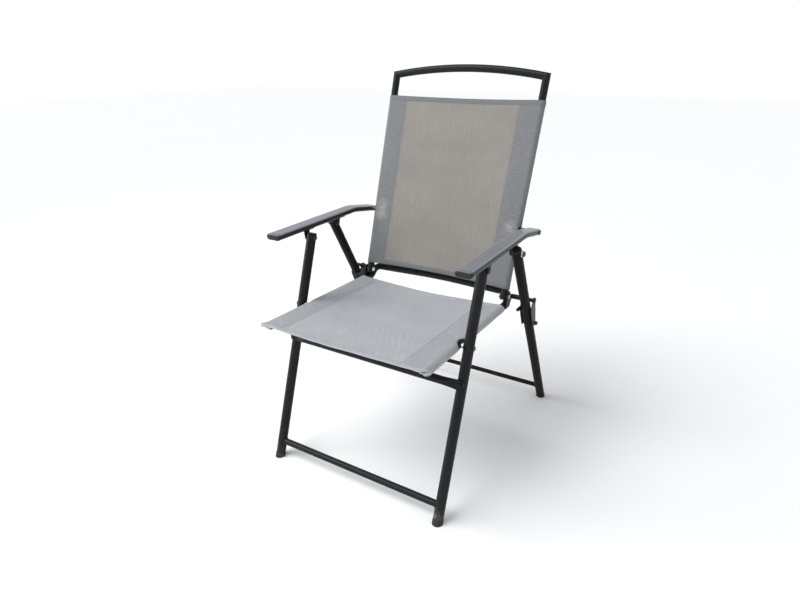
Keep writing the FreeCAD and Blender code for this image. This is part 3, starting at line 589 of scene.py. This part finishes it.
def weld_bead(points, faces, bar, bar_r, leg_foot, leg_dir, side, seed):
    """Bead round the end of a cross bar where it meets a leg, a little uneven."""
    steps, sides = WELD_STEPS, WELD_SIDES
    rings = []
    normal = Vector((0, leg_dir.z, -leg_dir.y))
    for i in range(steps):
        turn = 2 * math.pi * i / steps
        y, z = bar[0] + bar_r * math.cos(turn), bar[1] + bar_r * math.sin(turn)
        off = (Vector((0, y, z)) - Vector((0, leg_foot.y, leg_foot.z))).dot(normal)
        x = leg_foot.x - math.sqrt(max(LEG_R ** 2 - off ** 2, 0.0))
        rings.append(Vector((side * x, y, z)))
    first = len(points)
    for i, centre in enumerate(rings):
        ahead = (rings[(i + 1) % steps] - rings[i - 1]).normalized()
        outward = Vector((0, centre.y - bar[0], centre.z - bar[1])).normalized()
        outward = (outward - ahead * outward.dot(ahead)).normalized()
        other = ahead.cross(outward)
        lump = 1 + WELD_UNEVEN * math.sin(i * 2 * math.pi * WELD_LUMPS / steps + seed)
        size = WELD_R * lump * (1 + 0.2 * noise.noise(Vector((i * 0.3, seed, 0))))
        for k in range(sides):
            a = 2 * math.pi * k / sides
            points.append(centre + (outward * math.cos(a) + other * math.sin(a)) * size)
    for i in range(steps):
        for k in range(sides):
            j, m = (i + 1) % steps, (k + 1) % sides
            faces.append((first + i * sides + k, first + i * sides + m,
                          first + j * sides + m, first + j * sides + k))


def bar_welds(name, z, radius, foot, top):
    """Beads at both ends of a bar between two legs that run from foot to top."""
    direction = (top - foot).normalized()
    bar = (foot.y + direction.y / direction.z * z, z)
    points, faces = [], []
    for side in (-1, 1):
        weld_bead(points, faces, bar, radius, foot, direction, side, 2.0 + side)
    return new_piece(name, points, faces)


# ---- everything -----------------------------------------------------------------------
REAR_CURVE = 0.013                # how far the seat's rear edge curves forward
MOUTH_ROUND = 0.007               # rounding of the seat sleeves' open ends
LOWER_BACK = 0.005                # how far their lower layer ends behind the upper one
EDGE_WAVE = 0.0015
LOWER_CURVE = 0.006               # how far the back's lower edge curves up
UPPER_CURVE = 0.002               # and its upper edge down


def back_width(s):
    length = (BACK_CORNER_Z - BACK_PIVOT.z) / math.sin(BACK_LEAN)
    return BACK_X + (BACK_TOP_X - BACK_X) * np.asarray(s) / length


def seat_width(s):
    return SEAT_X + 0 * np.asarray(s)


def seat_ends(across, t, s, low, high):
    """The rear edge curves forward in the middle; the front ends of the sleeves are uneven."""
    rear = smooth_step((s - high + 0.10) / 0.10) * -REAR_CURVE * np.clip(1 - across ** 2, 0, 1)
    front = smooth_step(1 - (s - low) / 0.05)
    rounded = MOUTH_ROUND * smooth_step((np.abs(across) - 0.99) / 0.08)
    below = LOWER_BACK * smooth_step((0.050 - t) / 0.006)
    wave = EDGE_WAVE * np.sin(t * 190.0) * np.clip((np.abs(across) - 0.8) * 5, 0, 1)
    return rear + front * (rounded + below + wave)


def back_ends(across, t, s, low, high):
    """The lower edge curves up and the upper one down a little in the middle."""
    middle = np.clip(1 - across ** 2, 0, 1)
    lower = smooth_step(1 - (s - low) / 0.08) * LOWER_CURVE * middle
    upper = smooth_step((s - high + 0.06) / 0.06) * -UPPER_CURVE * middle
    return lower + upper


def sling_lines(sling):
    """Stitch lines of a sling: both sleeve seams and both hems, on both faces."""
    low, high = sling.span
    top = sling.half - sling.lower - sling.arc - sling.lap
    lift = 0.6 * CLOTH
    lines = []
    for side in (-1, 1):
        for offset in (0.0, 0.004):
            u = side * (top - offset)
            lines.append(((u, low + 0.002), (u, high - 0.002), lift))
            lines.append(((u, low + 0.002), (u, high - 0.002), -lift))
        for s in (low + sling.hem - 0.002, high - sling.hem + 0.002):
            lines.append(((side * 0.001, s), (side * (top - 0.006), s), 1.6 * lift))
            lines.append(((side * (top + 0.003), s), (side * (top + 0.040), s), 1.6 * lift))
            lines.append(((side * 0.001, s), (side * (top - 0.006), s), -1.6 * lift))
    return lines


def build_slings():
    across, slope = Vector((1, 0, 0)), math.hypot(1.0, SEAT_DROP)
    along = Vector((0, 1 / slope, -SEAT_DROP / slope))
    span = tuple((y - SEAT_PIVOT.y) * slope for y in SEAT_EDGES_Y)
    seat = Sling(SEAT_PIVOT, along, across.cross(along), seat_width, span, SEAT_SLEEVE,
                 SEAT_SAG, SEAT_HEM, (0.0, *SEAT_NOTCH), seed=3.0, end_shift=seat_ends,
                 mouth=1.0)
    along = Vector((0, math.cos(BACK_LEAN), math.sin(BACK_LEAN)))
    middle = (BACK_PIVOT + ARM_BACK_PIVOT) / 2
    start = middle - along * ((middle.z - BACK_PIVOT.z) / along.z)
    notch = (ARM_BACK_PIVOT.z - BACK_PIVOT.z) / along.z
    back = Sling(start, along, Vector((0, -along.z, along.y)), back_width, BACK_SPAN,
                 BACK_SLEEVE, BACK_SAG, BACK_HEM, (notch, *BACK_NOTCH), seed=11.0,
                 end_shift=back_ends, mouth=0.0)
    return seat, back


ARM_LIT_TOP = (0.195, 0.205, 0.227)   # the arms' upper sides, lighter than their paint: painted sky light
SEAT_SINGLE = (0.466, 0.488, 0.516, 1.0)
SEAT_DOUBLE = (0.424, 0.445, 0.473, 1.0)
BACK_SINGLE = (0.283, 0.265, 0.242, 1.0)
BACK_DOUBLE = (0.202, 0.210, 0.219, 1.0)
# the rear legs and rear bar take a darker, warmer copy of the frame paint: painted shade
SHADED_NODES = ("rear_leg_right", "rear_leg_left", "rear_lower_bar")
# worn patches of the back's sleeves: side, place from the notch, radius, strength
WEAR = ((1, 0.002, 0.006, 0.5), (-1, -0.010, 0.010, 0.5), (-1, 0.016, 0.005, 0.4))
WEAR_U = 0.188


def paint_nodes():
    """Materials for the CAD nodes that stay; returns the frame paint and its darker, warmer
    copy, which is painted shade.
    """
    frame_paint = powder_coat("charcoal powder coat", (0.0080, 0.0083, 0.0090), shine=0.19)
    # painted shade: a darker, warmer and less shiny copy of the frame paint
    shaded_paint = powder_coat("shaded charcoal powder coat", (0.0082, 0.0070, 0.0052),
                             (0.46, 0.56), shine=0.10)
    # arm paint: lighter upper side and paler edges, both painted light
    arm_paint = powder_coat("arm powder coat", (0.016, 0.017, 0.019), (0.30, 0.38), False,
                            ARM_LIT_TOP)
    # painted highlight: a brown-bronze tint standing for the highlight on the guide plates
    guide_highlight_paint = powder_coat("guide plate painted highlight", (0.050, 0.036, 0.028), (0.40, 0.50), False)
    plastic = moulded_plastic("black plastic", 0.014)
    # arm caps: a lighter top in painted sky light
    cap_plastic = moulded_plastic("arm cap plastic", 0.016, scaled(ARM_LIT_TOP, 0.8))
    zinc = plated_steel("zinc plate", 0.72, 0.25, 0.55)
    dark_rivet = plated_steel("dark rivet steel", 0.07, 0.4, 0.6)
    by_slot = {"frame_paint": frame_paint, "arm_paint": arm_paint, "black_plastic": plastic,
               "zinc_steel": zinc, "rivet_steel": dark_rivet}
    for part in frame["record"]["subparts"]:
        material = by_slot.get(part["material_slot"])
        if part["node"] in SHADED_NODES:
            material = shaded_paint
        # the guide outer plates take the painted-highlight tint
        if part["node"].startswith("guide_outer_plate"):
            material = guide_highlight_paint
        if part["node"].startswith("arm_end_caps"):
            material = cap_plastic
        if material is None:
            continue
        node = NODES[part["node"]]
        node.data.materials.clear()
        node.data.materials.append(material)
    return frame_paint, shaded_paint


def add_fabric():
    seat, back = build_slings()
    grey_cloth = sling_cloth("seat cloth", SEAT_SINGLE, SEAT_DOUBLE, 1.06, (1.0, -0.05), 0.17,
                             0.34)
    marks = [((side * WEAR_U, back.notch_s + shift, 0.0), radius, amount)
             for side, shift, radius, amount in WEAR]
    warm_cloth = sling_cloth("back cloth", BACK_SINGLE, BACK_DOUBLE, 0.82, (0.22, 1.0), 0.17,
                             0.0, marks)
    seat_piece = finish_piece(seat.build("seat_fabric_panel"), "seat",
                              grey_cloth)
    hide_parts("seat_sling")
    back_piece = finish_piece(back.build("back_fabric_panel"), "back",
                              warm_cloth)
    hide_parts("back_sling")
    pale_thread = thread_material("pale grey thread", (0.42, 0.44, 0.46, 1.0))
    grey_thread = thread_material("grey thread", (0.24, 0.25, 0.26, 1.0))
    seat_thread = finish_piece(seat.stitches("seat_stitching", sling_lines(seat)), "seat",
                               pale_thread)
    back_thread = finish_piece(back.stitches("back_stitching", sling_lines(back)), "back",
                               grey_thread)


def main():
    frame_paint, shaded_paint = paint_nodes()
    add_fabric()
    welds = bar_welds("front_bar_welds", *FRONT_BAR, FRONT_FOOT, ARM_PIVOT)
    finish_piece(welds, "front_frame", frame_paint)
    welds = bar_welds("rear_bar_welds", *REAR_BAR, REAR_FOOT, ARM_REAR_PIVOT)
    # the rear bar's welds take the painted-shade copy of the frame paint
    finish_piece(welds, "rear_frame", shaded_paint)


# ---- floor, light and camera ----------------------------------------------------------
FLOOR_SIZE = 14.0
SKY_COLOUR = (0.97, 0.98, 1.0, 1.0)
# the sky's strength, from the low sky to the high one
SKY_FADE = {"From Min": 0.18, "From Max": 0.75, "To Min": 1.04, "To Max": 0.38}
KEY_TOWARDS = (-0.50, -0.42, 0.90)
KEY_POWER, KEY_ANGLE = 2.3, math.radians(40.0)
FILL_PLACE, FILL_TARGET = (-2.2, -1.2, 1.2), (0, 0, 0.5)
FILL_SIZE, FILL_POWER = 1.4, 22.0
CAMERA_PLACE = (0.6820, -1.1901, 0.9736)
CAMERA_TARGET = (0.0524, -0.1599, 0.4552)
CAMERA_LENS, CAMERA_ROLL = 25.83, -0.00755


def build_floor():
    size = FLOOR_SIZE
    floor = new_piece("floor", [(-size, -size, 0), (size, -size, 0), (size, size, 0),
                                (-size, size, 0)], [(0, 1, 2, 3)], smooth=False)
    s = Shader("pale floor")
    tone = s.noise(s.place(), 1.4, 3.0)
    s.set(Base_Color=s.mix(tone, grey(0.875), grey(0.885)), Roughness=0.8)
    floor.data.materials.append(s.material)


def add_light(kind, name, power):
    data = bpy.data.lights.new(name, kind)
    data.energy = power
    light = bpy.data.objects.new(name, data)
    bpy.context.scene.collection.objects.link(light)
    return light


def build_light():
    world = bpy.data.worlds.new("studio")
    bpy.context.scene.world = world
    world.use_nodes = True
    tree = world.node_tree
    sky = tree.nodes["Background"]
    sky.inputs["Color"].default_value = SKY_COLOUR
    way = tree.nodes.new("ShaderNodeTexCoord").outputs["Generated"]
    parts = tree.nodes.new("ShaderNodeSeparateXYZ")
    tree.links.new(way, parts.inputs[0])
    fade = tree.nodes.new("ShaderNodeMapRange")
    tree.links.new(parts.outputs["Z"], fade.inputs["Value"])
    for key, value in SKY_FADE.items():
        fade.inputs[key].default_value = value
    tree.links.new(fade.outputs["Result"], sky.inputs["Strength"])
    key = add_light("SUN", "key", KEY_POWER)
    key.data.angle = KEY_ANGLE
    key.rotation_euler = Vector(KEY_TOWARDS).to_track_quat("Z", "Y").to_euler()
    fill = add_light("AREA", "fill", FILL_POWER)
    fill.data.shape = "DISK"
    fill.data.size = FILL_SIZE
    fill.location = FILL_PLACE
    aim = Vector(FILL_TARGET) - Vector(FILL_PLACE)
    fill.rotation_euler = aim.to_track_quat("-Z", "Y").to_euler()
    bpy.context.scene.view_settings.view_transform = "Standard"


def build_camera():
    """Three-quarter view from the front on the +X side, looking down, through a wide lens."""
    place, target = Vector(CAMERA_PLACE), Vector(CAMERA_TARGET)
    data = bpy.data.cameras.new("camera")
    data.sensor_width = 36.0
    data.lens = CAMERA_LENS
    camera = bpy.data.objects.new("camera", data)
    bpy.context.scene.collection.objects.link(camera)
    turn = (target - place).to_track_quat("-Z", "Y").to_matrix().to_4x4()
    roll = Matrix.Rotation(CAMERA_ROLL, 4, "Z")
    camera.matrix_world = Matrix.Translation(place) @ turn @ roll
    bpy.context.scene.camera = camera


main()
build_floor()
build_light()
build_camera()
